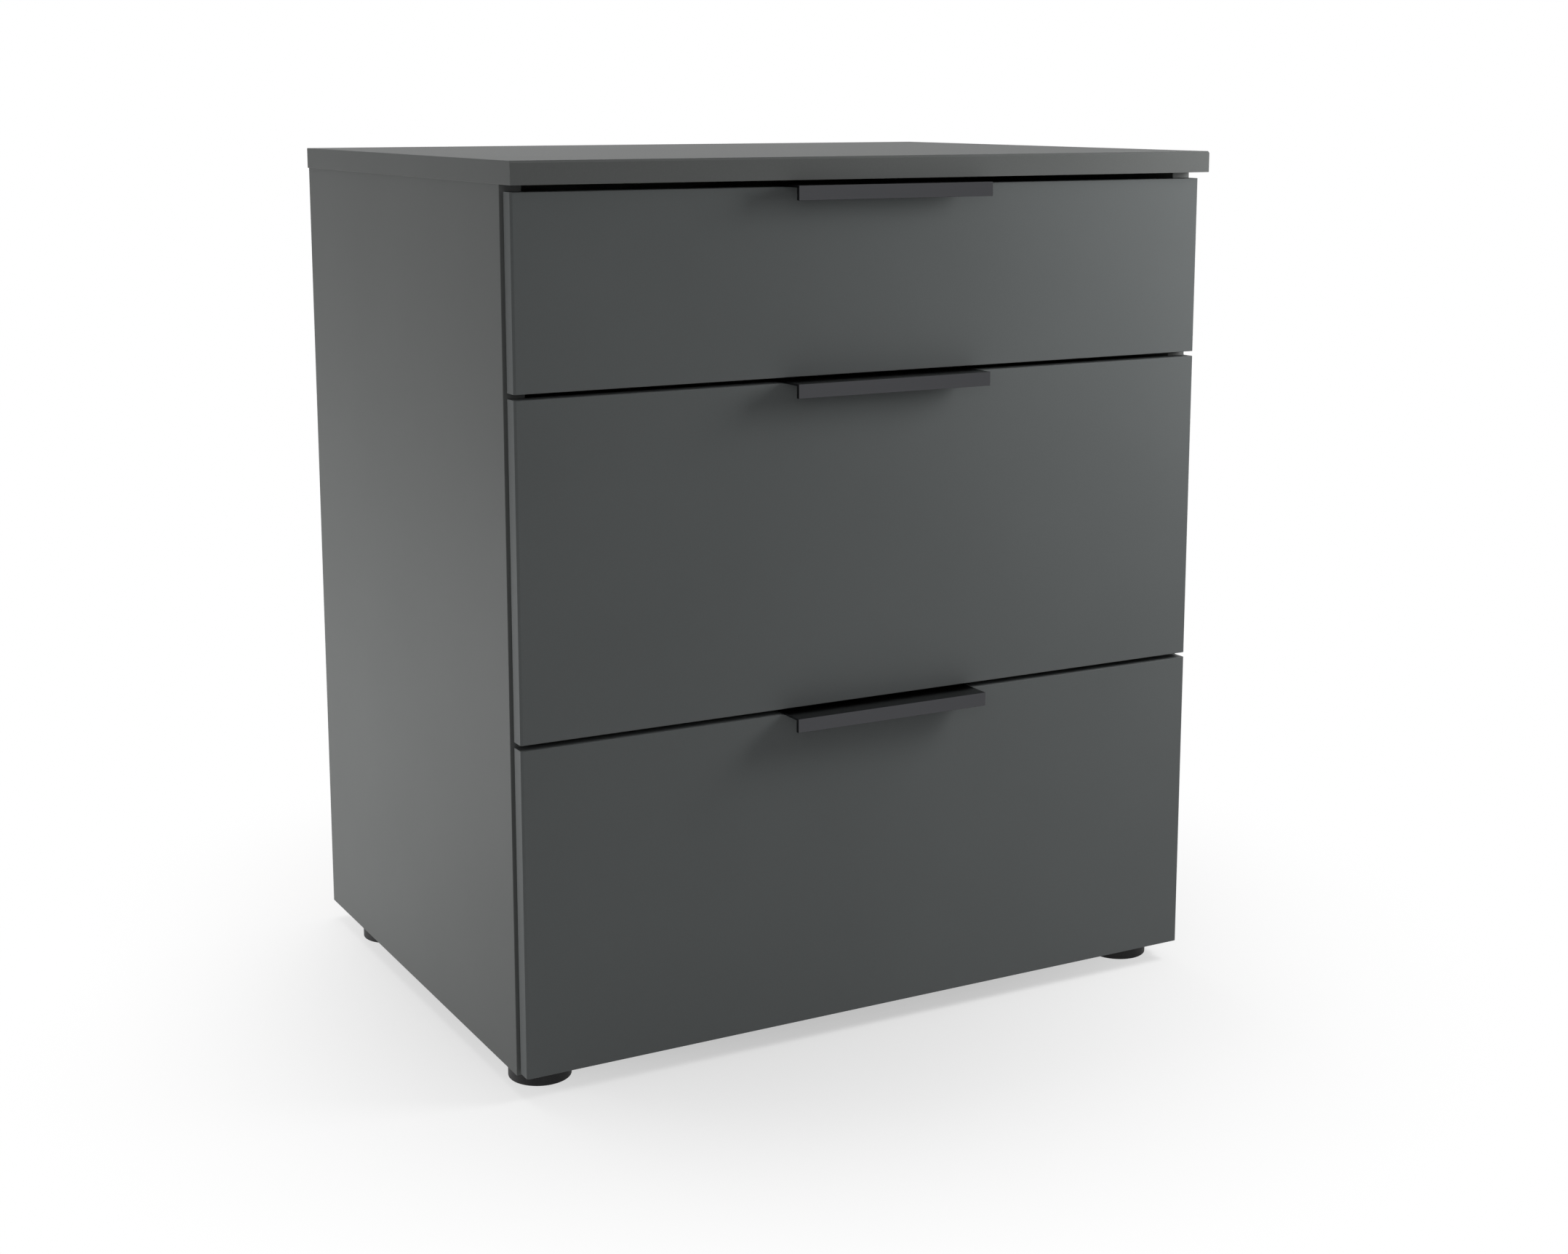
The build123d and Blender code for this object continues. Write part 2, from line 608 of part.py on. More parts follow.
def drawer_right_side(drawer):
    """Drawer side with rounded long edges, grooved for the bottom and bored for fittings."""
    side = block((BOX_INNER, BOX_OUTER), (FRONT_REAR, BOX_REAR), (drawer.box_bottom, drawer.box_top))
    side = fillet(side.edges().filter_by(Axis.Y), BOX_EDGE_RADIUS)
    front_cams, rear_cams = corner_cams(drawer)
    groove_floor = BOX_INNER + BOX_TONGUE + GROOVE_PLAY
    tools = [bottom_groove(drawer, (BOX_INNER, groove_floor), (FRONT_REAR, BOX_REAR))]
    tools += [cam_pocket(*cam) for cam in front_cams]
    tools += [bolt_hole(*cam) for cam in rear_cams]
    tools += [screw_hole(*seat) for seat in rail_screws(drawer)]
    return cut(side, tools)


def drawer_back(drawer):
    """Back between the drawer sides, standing on the bottom."""
    back = block(
        (-BOX_INNER, BOX_INNER),
        (BOX_REAR - BOX_BOARD, BOX_REAR),
        (drawer.groove_top, drawer.box_top),
    )
    upper_edges = back.edges().filter_by(Axis.X).group_by(Axis.Z)[-1]
    back = fillet(upper_edges, BOX_EDGE_RADIUS)
    pockets = both([cam_pocket(*cam) for cam in corner_cams(drawer)[1]])
    return cut(back, pockets + [screw_hole(*seat) for seat in box_screws(drawer)])


def drawer_bottom(drawer):
    """Thin bottom in the grooves of the sides and front, passing under the back."""
    edge = BOX_INNER + BOX_TONGUE
    panel = block(
        (-edge, edge),
        (FRONT_REAR - BOX_TONGUE, BOX_REAR),
        (drawer.groove_bottom, drawer.groove_top),
    )
    return cut(panel, [screw_hole(*seat) for seat in box_screws(drawer)])


def handle(drawer):
    """Edge pull drawn out along X: lip, plate over the front's top edge, and leg behind it."""
    lip_rear = HANDLE_FACE + HANDLE_LIP_THICKNESS
    leg_rear = FRONT_REAR + HANDLE_LEG_THICKNESS
    top = drawer.front_top + HANDLE_PLATE
    outline = [
        (HANDLE_FACE, top - HANDLE_LIP_HEIGHT),
        (lip_rear, top - HANDLE_LIP_HEIGHT),
        (lip_rear, drawer.front_top),
        (FRONT_REAR, drawer.front_top),
        (FRONT_REAR, top - HANDLE_LEG_HEIGHT),
        (leg_rear, top - HANDLE_LEG_HEIGHT),
        (leg_rear, top),
        (HANDLE_FACE, top),
    ]
    profile = make_face(Polyline(*outline, close=True))
    profile = fillet(profile.vertices(), HANDLE_CORNER_RADIUS)
    bar = extrude(Pos(-HANDLE_LENGTH / 2, 0, 0) * (Plane.YZ * profile), amount=HANDLE_LENGTH)
    return cut(bar, [screw_hole(*seat) for seat in handle_screws(drawer)])


def carcass_cam_fittings():
    """Cams and bolts between the sides and the top and bottom."""
    solids = []
    for cam in top_cams() + bottom_cams():
        solids += cam_fitting(*cam)
    return Compound(children=both(solids))


def carcass_dowels():
    """Dowels between the sides and the top and bottom."""
    return Compound(children=both([dowel(*peg) for peg in top_dowels() + bottom_dowels()]))


def carcass_screws():
    """Screws of the cabinet channels, the feet and the back panel."""
    seats = foot_screws()
    for drawer in DRAWERS.values():
        seats += channel_screws(drawer)
    paired = both([screw(*seat) for seat in seats])
    return Compound(children=paired + [screw(*seat) for seat in back_screws()])


def drawer_cam_fittings(drawer):
    """Cams and bolts at the four corners of a drawer."""
    front_cams, rear_cams = corner_cams(drawer)
    solids = []
    for cam in front_cams + rear_cams:
        solids += cam_fitting(*cam)
    return Compound(children=both(solids))


def drawer_screws(drawer):
    """Screws of a drawer's rails, handle and bottom."""
    paired = both([screw(*seat) for seat in rail_screws(drawer)])
    single = [screw(*seat) for seat in handle_screws(drawer) + box_screws(drawer)]
    return Compound(children=paired + single)


def carcass_pieces():
    """Pieces of the carcass by name."""
    right_side = right_side_panel()
    pieces = {
        "top_panel": top_panel(),
        "right_side_panel": right_side,
        "left_side_panel": flipped(right_side),
        "bottom_panel": bottom_panel(),
        "back_panel": back_panel(),
        "carcass_cam_fittings": carcass_cam_fittings(),
        "carcass_dowels": carcass_dowels(),
        "carcass_screws": carcass_screws(),
    }
    for place, y in zip(("front", "rear"), FOOT_YS):
        right_foot = foot(y)
        pieces[f"{place}_right_foot"] = right_foot
        pieces[f"{place}_left_foot"] = flipped(right_foot)
    return pieces


def drawer_pieces(name, drawer):
    """Pieces of one drawer and of the runners that carry it, by name."""
    pieces = {
        f"{name}_drawer_front": drawer_front(drawer),
        f"{name}_drawer_back": drawer_back(drawer),
        f"{name}_drawer_bottom": drawer_bottom(drawer),
        f"{name}_handle": handle(drawer),
        f"{name}_drawer_cam_fittings": drawer_cam_fittings(drawer),
        f"{name}_drawer_screws": drawer_screws(drawer),
    }
    right_hand = {
        "drawer_side": drawer_right_side(drawer),
        "cabinet_channel": cabinet_channel(drawer),
        "cabinet_roller": cabinet_roller(drawer),
        "drawer_rail": drawer_rail(drawer),
        "rail_roller": rail_roller(drawer),
    }
    for piece, shape in right_hand.items():
        pieces[f"{name}_right_{piece}"] = shape
        pieces[f"{name}_left_{piece}"] = flipped(shape)
    return pieces


def main():
    """Write every piece to its own file."""
    os.makedirs("parts", exist_ok=True)
    pieces = carcass_pieces()
    for name, drawer in DRAWERS.items():
        pieces.update(drawer_pieces(name, drawer))
    for name, shape in pieces.items():
        export_step(shape, f"parts/{name}.step")


if __name__ == "__main__":
    main()
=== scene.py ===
import math
from collections import namedtuple

import bpy
from bpy.props import FloatProperty, FloatVectorProperty, IntProperty, PointerProperty
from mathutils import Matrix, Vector


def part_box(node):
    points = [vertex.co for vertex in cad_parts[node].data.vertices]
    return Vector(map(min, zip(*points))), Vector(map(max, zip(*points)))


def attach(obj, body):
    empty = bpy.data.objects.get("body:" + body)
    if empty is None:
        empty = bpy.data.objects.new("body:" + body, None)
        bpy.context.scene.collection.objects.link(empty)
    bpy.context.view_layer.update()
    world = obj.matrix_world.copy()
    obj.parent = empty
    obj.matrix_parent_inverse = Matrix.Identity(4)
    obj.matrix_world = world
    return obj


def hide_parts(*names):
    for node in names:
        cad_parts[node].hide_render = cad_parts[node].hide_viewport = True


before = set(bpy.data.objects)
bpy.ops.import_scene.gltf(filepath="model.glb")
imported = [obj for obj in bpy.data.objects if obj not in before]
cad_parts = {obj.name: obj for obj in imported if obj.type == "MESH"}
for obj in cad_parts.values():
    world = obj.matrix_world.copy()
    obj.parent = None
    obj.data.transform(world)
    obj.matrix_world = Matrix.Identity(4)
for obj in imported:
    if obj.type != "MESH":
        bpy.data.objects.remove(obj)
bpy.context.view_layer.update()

bl_info = {
    "name": "Nightstand finishes",
    "version": (1, 0, 0),
    "blender": (4, 5, 0),
    "location": "3D View > Sidebar > Nightstand",
    "description": "Finishes, screws and studio stage for a nightstand with three drawers on roller runners",
    "category": "Object",
}

DRAWERS = ("upper", "middle", "lower")
SIDES = ("right", "left")

CARCASS_BOARDS = ("top_panel", "right_side_panel", "left_side_panel", "bottom_panel")
DRAWER_FRONTS = tuple(f"{d}_drawer_front" for d in DRAWERS)
DRAWER_BOARDS = tuple(f"{d}_drawer_back" for d in DRAWERS) + tuple(
    f"{d}_{s}_drawer_side" for d in DRAWERS for s in SIDES
)
DRAWER_BOTTOMS = tuple(f"{d}_drawer_bottom" for d in DRAWERS)
HANDLES = tuple(f"{d}_handle" for d in DRAWERS)
FEET = tuple(f"{p}_{s}_foot" for p in ("front", "rear") for s in SIDES)
RUNNERS = tuple(
    f"{d}_{s}_{piece}" for d in DRAWERS for s in SIDES for piece in ("cabinet_channel", "drawer_rail")
)
ROLLERS = tuple(
    f"{d}_{s}_{piece}" for d in DRAWERS for s in SIDES for piece in ("cabinet_roller", "rail_roller")
)
CAM_FITTINGS = ("carcass_cam_fittings",) + tuple(f"{d}_drawer_cam_fittings" for d in DRAWERS)
SCREW_GROUPS = {"carcass_screws": "carcass", **{f"{d}_drawer_screws": f"{d}_drawer" for d in DRAWERS}}

NOISE_RANGE = (0.3, 0.7)  # where nearly all of a noise texture's values lie
RAW_SKIN = 0.0004  # depth of raw fibre on the back panel's rear face
WELD_GRID = 1e-6  # corners of carried triangles that meet on this grid are one point

HEAD_FACETS = 24
SHANK_FACETS = 16
THREAD_FACETS = 3
RIM_SHARE = 0.5  # height of the head's upright rim, as a share of the head's height
CROWN_SHARE = 0.62  # radius of the head's flat crown, as a share of the head's radius
RIDGE_SHARE = 0.6  # radius of the thread's ridge, as a share of the thread's depth
THREAD_START = 0.1  # plain shank under the head, as a share of the core's length
THREAD_SHARE = 0.86  # length of the thread, as a share of the core's length
TIP_RADIUS = 0.0001
SCREW_SEED = 7  # turns each recess its own way

FLOOR_CORNERS = 96
SENSOR_WIDTH = 36.0  # millimetres


class NightstandFinish(bpy.types.PropertyGroup):
    """Colours of the nightstand's finishes."""

    carcass: FloatVectorProperty(
        name="Carcass", description="Graphite melamine of the top, sides and bottom",
        subtype="COLOR", size=3, min=0, max=1, default=(0.0965, 0.1005, 0.0990),
    )
    fronts: FloatVectorProperty(
        name="Fronts", description="Graphite foil of the drawer fronts",
        subtype="COLOR", size=3, min=0, max=1, default=(0.0937, 0.1000, 0.1005),
    )
    drawer_boxes: FloatVectorProperty(
        name="Drawer boxes", description="Grey linen foil of the drawer sides and backs",
        subtype="COLOR", size=3, min=0, max=1, default=(0.30, 0.30, 0.29),
    )
    thin_boards: FloatVectorProperty(
        name="Thin boards", description="Printed face of the back panel and the drawer bottoms",
        subtype="COLOR", size=3, min=0, max=1, default=(0.20, 0.20, 0.195),
    )
    raw_fibre: FloatVectorProperty(
        name="Raw fibre", description="Unprinted rear face of the back panel",
        subtype="COLOR", size=3, min=0, max=1, default=(0.20, 0.128, 0.078),
    )
    handles: FloatVectorProperty(
        name="Handles", description="Dark satin coat of the handles",
        subtype="COLOR", size=3, min=0, max=1, default=(0.0585, 0.0592, 0.0630),
    )
    feet: FloatVectorProperty(
        name="Feet", description="Black moulded plastic of the feet",
        subtype="COLOR", size=3, min=0, max=1, default=(0.013, 0.013, 0.0135),
    )
    runners: FloatVectorProperty(
        name="Runners", description="Light grey epoxy coat of the channels and rails",
        subtype="COLOR", size=3, min=0, max=1, default=(0.48, 0.49, 0.50),
    )
    rollers: FloatVectorProperty(
        name="Rollers", description="Natural nylon of the rollers",
        subtype="COLOR", size=3, min=0, max=1, default=(0.72, 0.70, 0.64),
    )
    zinc: FloatVectorProperty(
        name="Zinc", description="Zinc plating of the screws and cam fittings",
        subtype="COLOR", size=3, min=0, max=1, default=(0.62, 0.61, 0.58),
    )
    beech: FloatVectorProperty(
        name="Beech", description="Plain beech of the dowels",
        subtype="COLOR", size=3, min=0, max=1, default=(0.52, 0.31, 0.15),
    )


class NightstandScrews(bpy.types.PropertyGroup):
    """Sizes of the pan-head screws."""

    head_radius: FloatProperty(
        name="Head radius", description="Radius of the pan head",
        unit="LENGTH", default=0.0035, min=0.001, max=0.01, precision=5,
    )
    head_height: FloatProperty(
        name="Head height", description="Height of the pan head above its seat",
        unit="LENGTH", default=0.0015, min=0.0005, max=0.005, precision=5,
    )
    core_radius: FloatProperty(
        name="Core radius", description="Radius of the shank inside the thread",
        unit="LENGTH", default=0.0012, min=0.0005, max=0.005, precision=5,
    )
    thread_radius: FloatProperty(
        name="Thread radius", description="Radius over the thread",
        unit="LENGTH", default=0.00175, min=0.0005, max=0.006, precision=5,
    )
    length: FloatProperty(
        name="Length", description="Length below the head",
        unit="LENGTH", default=0.010, min=0.003, max=0.05, precision=5,
    )
    turns: IntProperty(
        name="Turns", description="Turns of the thread", default=6, min=1, max=40,
    )
    recess_length: FloatProperty(
        name="Recess length", description="Length of each arm of the cross recess",
        unit="LENGTH", default=0.0042, min=0.001, max=0.01, precision=5,
    )
    recess_width: FloatProperty(
        name="Recess width", description="Width of each arm of the cross recess",
        unit="LENGTH", default=0.0008, min=0.0002, max=0.003, precision=5,
    )
    recess_depth: FloatProperty(
        name="Recess depth", description="Depth of the cross recess",
        unit="LENGTH", default=0.001, min=0.0002, max=0.003, precision=5,
    )


class NightstandStage(bpy.types.PropertyGroup):
    """Camera, light level and floor of the studio."""

    camera_place: FloatVectorProperty(
        name="Camera place", description="Camera position",
        subtype="TRANSLATION", size=3, default=(-0.80650, -1.52971, 0.65252),
    )
    camera_yaw: FloatProperty(
        name="Camera yaw", description="Turn of the camera to the right of straight ahead",
        subtype="ANGLE", default=math.radians(28.65),
    )
    camera_pitch: FloatProperty(
        name="Camera pitch", description="Tilt of the camera below the horizon",
        subtype="ANGLE", default=math.radians(9.714),
    )
    lens: FloatProperty(
        name="Lens", description="Focal length on a 36 mm wide sensor",
        unit="CAMERA", default=53.13, min=10, max=300,
    )
    shift: FloatProperty(
        name="Shift", description="Upright shift of the lens as a share of the picture's width",
        default=-0.085, min=-1, max=1,
    )
    ambient: FloatProperty(
        name="Ambient", description="Strength of the even light from the surroundings",
        default=0.2, min=0, max=2,
    )
    floor_shade: FloatProperty(
        name="Floor shade", description="How much of the shadow shows on the floor beside the nightstand",
        subtype="FACTOR", default=0.5, min=0, max=1,
    )
    shade_near: FloatProperty(
        name="Shade near", description="Distance from the middle at which the floor's shade starts to fade",
        unit="LENGTH", default=0.15, min=0, max=5,
    )
    shade_far: FloatProperty(
        name="Shade far", description="Distance from the middle at which the floor has run out into white",
        unit="LENGTH", default=0.6, min=0.01, max=5,
    )
    floor_tone: FloatProperty(
        name="Floor tone", description="Lightness of the floor",
        subtype="FACTOR", default=0.95, min=0, max=1,
    )
    floor_radius: FloatProperty(
        name="Floor radius", description="Radius of the round floor",
        unit="LENGTH", default=9.0, min=1, max=50,
    )


# Softboxes, each with its radiance and whether gloss mirrors it
Lamp = namedtuple("Lamp", "name place aim width height radiance mirrored")
LAMPS = (
    Lamp("key_softbox", (0.58, -0.50, 0.70), (0.25, -0.19, 0.50), 0.35, 0.35, 12.4, False),
    Lamp("overhead_softbox", (-0.20, 0.65, 2.00), (-0.20, 0.65, 0.00), 1.20, 1.20, 3.7, True),
    Lamp("left_softbox", (-0.80, 0.30, 0.12), (-0.27, 0.10, 0.20), 0.40, 0.20, 11.2, True),
    Lamp("front_softbox", (-1.60, -2.60, 1.00), (0.00, -0.19, 0.30), 1.60, 1.60, 1.5, True),
    Lamp("rear_softbox", (0.50, 1.90, 0.30), (0.00, 0.20, 0.30), 1.20, 0.50, 6.0, True),
)


class Graph:
    """Adds nodes to one tree and joins them."""

    def __init__(self, tree):
        self.tree = tree

    def feed(self, node, name, value):
        """Join a socket, or set a plain value on it. The name may be the socket's identifier."""
        found = [s for s in node.inputs if s.identifier == name] or [node.inputs[name]]
        if isinstance(value, bpy.types.NodeSocket):
            self.tree.links.new(value, found[0])
        else:
            found[0].default_value = value

    def add(self, kind, inputs=None, **settings):
        """New node with its settings and inputs."""
        node = self.tree.nodes.new(kind)
        for name, value in settings.items():
            setattr(node, name, value)
        for name, value in (inputs or {}).items():
            self.feed(node, name, value)
        return node

    def take(self, node, name):
        """Output of a node by its identifier."""
        return next(s for s in node.outputs if s.identifier == name)

    def math(self, operation, first, second=0.0):
        """Result of one operation on two numbers."""
        node = self.add("ShaderNodeMath", {"Value": first, "Value_001": second}, operation=operation)
        return node.outputs["Value"]

    def times(self, first, second):
        """Product of two numbers."""
        return self.math("MULTIPLY", first, second)

    def spread(self, value, low, high, start=0.0, end=1.0):
        """Number moved from the range start to end into the range low to high."""
        limits = {"Value": value, "From Min": start, "From Max": end, "To Min": low, "To Max": high}
        return self.add("ShaderNodeMapRange", limits).outputs["Result"]

    def vary(self, noise, low, high):
        """Noise moved from its usual range into the range low to high."""
        return self.spread(noise, low, high, *NOISE_RANGE)

    def noise(self, place, scale, detail=2.0, roughness=0.5, stretch=(1, 1, 1)):
        """Noise on Object coordinates, drawn out along an axis by a small stretch value there."""
        if stretch != (1, 1, 1):
            place = self.add("ShaderNodeMapping", {"Vector": place, "Scale": stretch}).outputs["Vector"]
        inputs = {"Vector": place, "Scale": scale, "Detail": detail, "Roughness": roughness}
        return self.add("ShaderNodeTexNoise", inputs).outputs["Fac"]

    def tint(self, colour, factor):
        """Colour made lighter or darker by a number."""
        shade = self.add("ShaderNodeCombineColor", {"Red": factor, "Green": factor, "Blue": factor})
        inputs = {"Factor_Float": 1.0, "A_Color": colour, "B_Color": shade.outputs["Color"]}
        node = self.add("ShaderNodeMix", inputs, data_type="RGBA", blend_type="MULTIPLY")
        return self.take(node, "Result_Color")

    def between(self, factor, first, second):
        """Colour between two colours."""
        inputs = {"Factor_Float": factor, "A_Color": first, "B_Color": second}
        return self.take(self.add("ShaderNodeMix", inputs, data_type="RGBA"), "Result_Color")

    def relief(self, height, depth, strength=1.0):
        """Normal of a fine relief of the given depth."""
        inputs = {"Strength": strength, "Distance": depth, "Height": height}
        return self.add("ShaderNodeBump", inputs).outputs["Normal"]


def rgba(colour):
    """Four-value colour from a three-value property."""
    return (*colour, 1.0)


def start_finish(name):
    """New material, its graph, its surface shader and its Object coordinates."""
    material = bpy.data.materials.new(name)
    material.use_nodes = True
    graph = Graph(material.node_tree)
    surface = material.node_tree.nodes["Principled BSDF"]
    place = graph.add("ShaderNodeTexCoord").outputs["Object"]
    return material, graph, surface, place


def smooth_board(name, colour):
    """Graphite decor with faint clouds of tone and a fine pearl structure."""
    material, graph, surface, place = start_finish(name)
    clouds = graph.noise(place, scale=7.0, detail=3.0, roughness=0.55)
    pearl = graph.noise(place, scale=1100.0, detail=2.0, roughness=0.6)
    tone = graph.times(graph.vary(clouds, 0.975, 1.025), graph.vary(pearl, 0.97, 1.03))
    graph.feed(surface, "Base Color", graph.tint(rgba(colour), tone))
    graph.feed(surface, "Roughness", graph.vary(pearl, 0.52, 0.60))
    graph.feed(surface, "Normal", graph.relief(pearl, depth=0.00003, strength=0.35))
    graph.feed(surface, "Specular IOR Level", 0.1)
    return material


def linen_board(name, colour):
    """Grey drawer foil with a printed linen weave of fine threads along each axis."""
    material, graph, surface, place = start_finish(name)
    threads = [
        graph.noise(place, scale=1500.0, detail=1.0, roughness=0.5, stretch=stretch)
        for stretch in ((0.03, 1, 1), (1, 0.03, 1), (1, 1, 0.03))
    ]
    weave = graph.math("ADD", graph.math("ADD", threads[0], threads[1]), threads[2])
    clouds = graph.noise(place, scale=11.0, detail=2.0)
    tone = graph.times(graph.spread(weave, 0.86, 1.12, 1.1, 1.9), graph.vary(clouds, 0.98, 1.02))
    graph.feed(surface, "Base Color", graph.tint(rgba(colour), tone))
    graph.feed(surface, "Roughness", graph.spread(weave, 0.50, 0.64, 1.1, 1.9))
    graph.feed(surface, "Normal", graph.relief(weave, depth=0.00003, strength=0.3))
    graph.feed(surface, "Specular IOR Level", 0.4)
    return material


def printed_fibreboard(name, colour, raw=None, raw_from=0.0):
    """Thin fibreboard: a printed face with a fine speckle, and raw fibre behind the given depth."""
    material, graph, surface, place = start_finish(name)
    speckle = graph.noise(place, scale=700.0, detail=4.0, roughness=0.65)
    shade = graph.tint(rgba(colour), graph.vary(speckle, 0.93, 1.07))
    roughness = graph.vary(speckle, 0.52, 0.62)
    relief = speckle
    if raw is not None:
        depth = graph.add("ShaderNodeSeparateXYZ", {"Vector": place}).outputs["Y"]
        behind = graph.math("GREATER_THAN", depth, raw_from)
        fibres = graph.noise(place, scale=520.0, detail=5.0, roughness=0.7, stretch=(0.45, 1, 1))
        clouds = graph.noise(place, scale=14.0, detail=3.0, roughness=0.55)
        specks = graph.noise(place, scale=620.0, detail=3.0, roughness=0.65)
        flecks = graph.spread(specks, 1.0, 0.7, 0.64, 0.74)
        fibre_tone = graph.times(graph.vary(fibres, 0.80, 1.18), flecks)
        tone = graph.times(fibre_tone, graph.vary(clouds, 0.94, 1.06))
        shade = graph.between(behind, shade, graph.tint(rgba(raw), tone))
        roughness = graph.math("ADD", roughness, graph.times(behind, 0.25))
        relief = fibres
    graph.feed(surface, "Base Color", shade)
    graph.feed(surface, "Roughness", roughness)
    graph.feed(surface, "Normal", graph.relief(relief, depth=0.00006, strength=0.35))
    graph.feed(surface, "Specular IOR Level", 0.35)
    return material


def coated_metal(name, colour):
    """Satin metal under a dark coat, with a fine orange peel and faint draw marks along the length."""
    material, graph, surface, place = start_finish(name)
    skin = graph.noise(place, scale=1600.0, detail=2.0, roughness=0.55)
    draws = graph.noise(place, scale=2600.0, detail=2.0, roughness=0.5, stretch=(0.02, 1, 1))
    skin_tone = graph.vary(skin, 0.98, 1.02)
    tone = graph.times(skin_tone, graph.vary(draws, 0.97, 1.03))
    graph.feed(surface, "Base Color", graph.tint(rgba(colour), tone))
    graph.feed(surface, "Roughness", graph.vary(skin, 0.19, 0.24))
    graph.feed(surface, "Normal", graph.relief(skin, depth=0.00001, strength=0.25))
    graph.feed(surface, "Metallic", 1.0)
    return material


def moulded_black(name, colour):
    """Black moulded plastic with an eroded grain and dusty lighter patches."""
    material, graph, surface, place = start_finish(name)
    grain = graph.noise(place, scale=1300.0, detail=3.0, roughness=0.6)
    patches = graph.noise(place, scale=140.0, detail=3.0, roughness=0.6)
    tone = graph.times(graph.vary(grain, 0.5, 1.6), graph.vary(patches, 0.75, 1.35))
    graph.feed(surface, "Base Color", graph.tint(rgba(colour), tone))
    graph.feed(surface, "Roughness", graph.vary(grain, 0.5, 0.7))
    graph.feed(surface, "Normal", graph.relief(grain, depth=0.00012, strength=0.8))
    graph.feed(surface, "Specular IOR Level", 0.26)
    return material


def epoxy_runner(name, colour):
    """Light epoxy coat on bent steel sheet, with rub marks along the travel."""
    material, graph, surface, place = start_finish(name)
    skin = graph.noise(place, scale=650.0, detail=2.0, roughness=0.55)
    rubs = graph.noise(place, scale=1400.0, detail=3.0, roughness=0.6, stretch=(1, 0.012, 1))
    marks = graph.spread(rubs, 0.0, 1.0, 0.58, 0.72)
    tone = graph.times(graph.vary(skin, 0.97, 1.03), graph.spread(marks, 1.0, 0.84))
    graph.feed(surface, "Base Color", graph.tint(rgba(colour), tone))
    roughness = graph.math("ADD", graph.vary(skin, 0.30, 0.42), graph.times(marks, 0.12))
    graph.feed(surface, "Roughness", roughness)
    graph.feed(surface, "Normal", graph.relief(skin, depth=0.00004, strength=0.3))
    return material


def roller_nylon(name, colour):
    """Milky nylon with a faint moulding grain and grey running marks round the tread."""
    material, graph, surface, place = start_finish(name)
    grain = graph.noise(place, scale=900.0, detail=3.0, roughness=0.6)
    rings = graph.noise(place, scale=2200.0, detail=1.0, roughness=0.5, stretch=(1, 0.05, 0.05))
    tone = graph.times(graph.vary(grain, 0.95, 1.05), graph.vary(rings, 0.9, 1.06))
    graph.feed(surface, "Base Color", graph.tint(rgba(colour), tone))
    graph.feed(surface, "Roughness", graph.vary(grain, 0.36, 0.5))
    graph.feed(surface, "Normal", graph.relief(rings, depth=0.00002, strength=0.3))
    return material


def zinc_plate(name, colour):
    """Zinc plating with small crystals, each a little duller or brighter."""
    material, graph, surface, place = start_finish(name)
    cells = graph.add("ShaderNodeTexVoronoi", {"Vector": place, "Scale": 900.0}).outputs["Color"]
    cell = graph.add("ShaderNodeSeparateColor", {"Color": cells}).outputs["Red"]
    haze = graph.noise(place, scale=260.0, detail=3.0, roughness=0.6)
    graph.feed(surface, "Base Color", graph.tint(rgba(colour), graph.spread(cell, 0.84, 1.1)))
    roughness = graph.math("ADD", graph.vary(haze, 0.24, 0.4), graph.times(cell, 0.08))
    graph.feed(surface, "Roughness", roughness)
    graph.feed(surface, "Normal", graph.relief(haze, depth=0.00002, strength=0.3))
    graph.feed(surface, "Metallic", 1.0)
    return material


def plain_beech(name, colour):
    """Beech with drawn-out grain and the short dark flecks of its rays."""
    material, graph, surface, place = start_finish(name)
    grain = graph.noise(place, scale=420.0, detail=4.0, roughness=0.6, stretch=(1, 1, 0.06))
    rays = graph.noise(place, scale=900.0, detail=2.0, roughness=0.5, stretch=(0.25, 0.25, 0.1))
    flecks = graph.spread(rays, 1.0, 0.72, 0.6, 0.72)
    tone = graph.times(graph.vary(grain, 0.8, 1.2), flecks)
    graph.feed(surface, "Base Color", graph.tint(rgba(colour), tone))
    graph.feed(surface, "Roughness", graph.vary(grain, 0.55, 0.7))
    graph.feed(surface, "Normal", graph.relief(grain, depth=0.00008, strength=0.4))
    return material


def finish_nodes(nodes, material):
    """Give the carried pieces one finish."""
    for node in nodes:
        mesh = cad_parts[node].data
        mesh.materials.clear()
        mesh.materials.append(material)


class NIGHTSTAND_OT_finish_carcass(bpy.types.Operator):
    """Finish the top, sides and bottom in graphite melamine and the back panel in printed fibreboard"""

    bl_idname = "nightstand.finish_carcass"
    bl_label = "Finish carcass"

    def execute(self, context):
        finish = context.scene.nightstand_finish
        finish_nodes(CARCASS_BOARDS, smooth_board("graphite_melamine", finish.carcass))
        rear_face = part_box("back_panel")[1].y
        back = printed_fibreboard(
            "back_fibreboard", finish.thin_boards, finish.raw_fibre, raw_from=rear_face - RAW_SKIN
        )
        finish_nodes(("back_panel",), back)
        return {"FINISHED"}


class NIGHTSTAND_OT_finish_fronts(bpy.types.Operator):
    """Finish the drawer fronts in smooth graphite foil"""

    bl_idname = "nightstand.finish_fronts"
    bl_label = "Finish drawer fronts"

    def execute(self, context):
        finish = context.scene.nightstand_finish
        finish_nodes(DRAWER_FRONTS, smooth_board("graphite_foil", finish.fronts))
        return {"FINISHED"}


